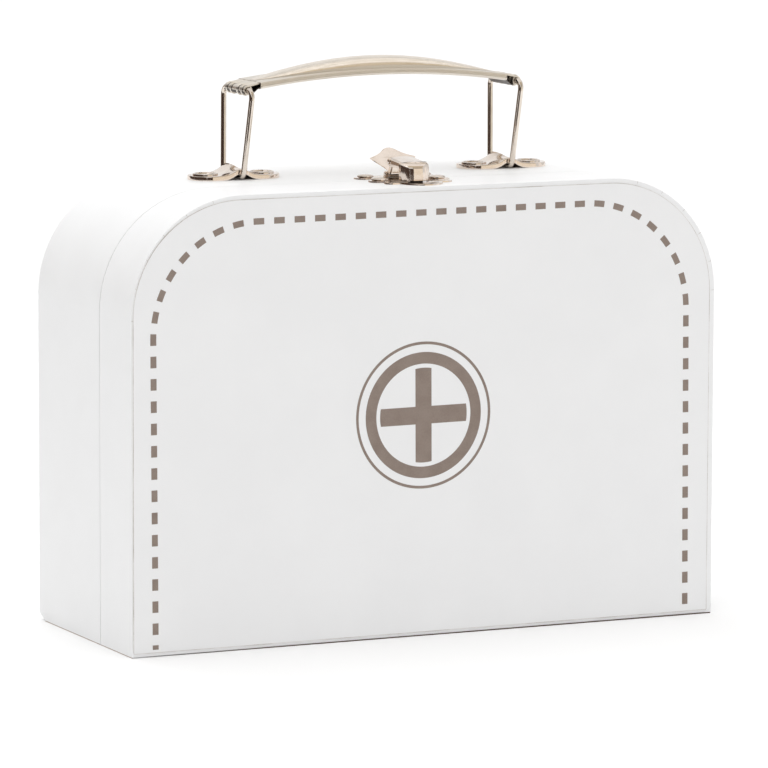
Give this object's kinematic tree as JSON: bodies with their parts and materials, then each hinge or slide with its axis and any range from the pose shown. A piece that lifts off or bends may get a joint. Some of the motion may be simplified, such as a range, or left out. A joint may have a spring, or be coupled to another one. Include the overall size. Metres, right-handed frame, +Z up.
{
  "type": "toy doctor case",
  "caption": "White cardboard toy suitcase with a front lid on a paper hinge, a fold-down wire handle and a draw latch; a printed cross emblem marks it as a play doctor's case.",
  "frame": {"origin": "middle of the case's bottom, on the surface it stands on", "axes": "+X to the right along the width, +Y from the lid to the back, +Z up"},
  "size_m": [0.25, 0.0956, 0.2221],
  "materials": {
    "white_facing_paper": "satin",
    "white_wrap_paper": "satin",
    "greyboard": "matte",
    "white_lining_paper": "matte",
    "hinge_paper": "satin",
    "nickel_plated_plate": "polished",
    "nickel_plated_strap": "polished",
    "nickel_plated_rivet": "satin",
    "nickel_plated_wire": "polished",
    "brushed_nickel_grip": "satin",
    "steel_washer": "satin"
  },
  "bodies": {
    "base": {"back_facing": "white_facing_paper", "back_panel": "greyboard", "base_wrap": "white_wrap_paper", "base_wall": "greyboard", "base_floor": "greyboard", "base_lining": "white_lining_paper", "hinge_cover_base": "hinge_paper", "neck_collar": "greyboard", "latch_base_plate": "nickel_plated_plate", "latch_base_rivets": "nickel_plated_rivet", "latch_base_washers": "steel_washer", "lever_pin": "nickel_plated_rivet", "strap_left": "nickel_plated_strap", "strap_right": "nickel_plated_strap", "strap_rivets_left": "nickel_plated_rivet", "strap_rivets_right": "nickel_plated_rivet", "strap_washers_left": "steel_washer", "strap_washers_right": "steel_washer"},
    "lid": {"front_facing": "white_facing_paper", "front_panel": "greyboard", "lid_wrap": "white_wrap_paper", "lid_wall": "greyboard", "lid_floor": "greyboard", "lid_lining": "white_lining_paper", "hinge_cover_lid": "hinge_paper", "strike_plate": "nickel_plated_plate", "strike_rivets": "nickel_plated_rivet", "strike_washers": "steel_washer"},
    "bail_left": {"bail_left": "nickel_plated_wire"},
    "bail_right": {"bail_right": "nickel_plated_wire"},
    "grip": {"grip": "brushed_nickel_grip"},
    "lever": {"latch_lever": "nickel_plated_plate", "hook_pin": "nickel_plated_rivet"},
    "hook": {"latch_hook": "nickel_plated_plate"}
  },
  "joints": [
    {"name": "lid_hinge", "type": "hinge", "parent": "base", "child": "lid", "pos_m": [0, -0.0158, 0], "axis": [1, 0, 0], "range_deg": [0, 175]},
    {"name": "bail_left_pivot", "type": "hinge", "parent": "base", "child": "bail_left", "pos_m": [-0.0564, 0.013, 0.1774], "axis": [0, 1, 0], "range_deg": [-86, 79]},
    {"name": "bail_right_pivot", "type": "hinge", "parent": "base", "child": "bail_right", "pos_m": [0.0602, 0.013, 0.1774], "axis": [0, 1, 0], "range_deg": [-86, 79]},
    {"name": "grip_pivot", "type": "hinge", "parent": "bail_left", "child": "grip", "pos_m": [-0.05434, 0.013, 0.21114], "axis": [0, 1, 0], "range_deg": [-79, 86]},
    {"name": "latch_lever_pivot", "type": "hinge", "parent": "base", "child": "lever", "pos_m": [0.0023, -0.0142, 0.1779], "axis": [1, 0, 0], "range_deg": [-2.7, 46]},
    {"name": "latch_hook_pivot", "type": "hinge", "parent": "lever", "child": "hook", "pos_m": [0.0023, -0.0171, 0.183], "axis": [1, 0, 0], "range_deg": [-92, 5.4]}
  ],
  "couplings": [
    {"joint": "bail_right_pivot", "follows": "bail_left_pivot", "ratio": 1},
    {"joint": "grip_pivot", "follows": "bail_left_pivot", "ratio": -1},
    {"joint": "latch_hook_pivot", "follows": "latch_lever_pivot", "ratio": -2}
  ]
}
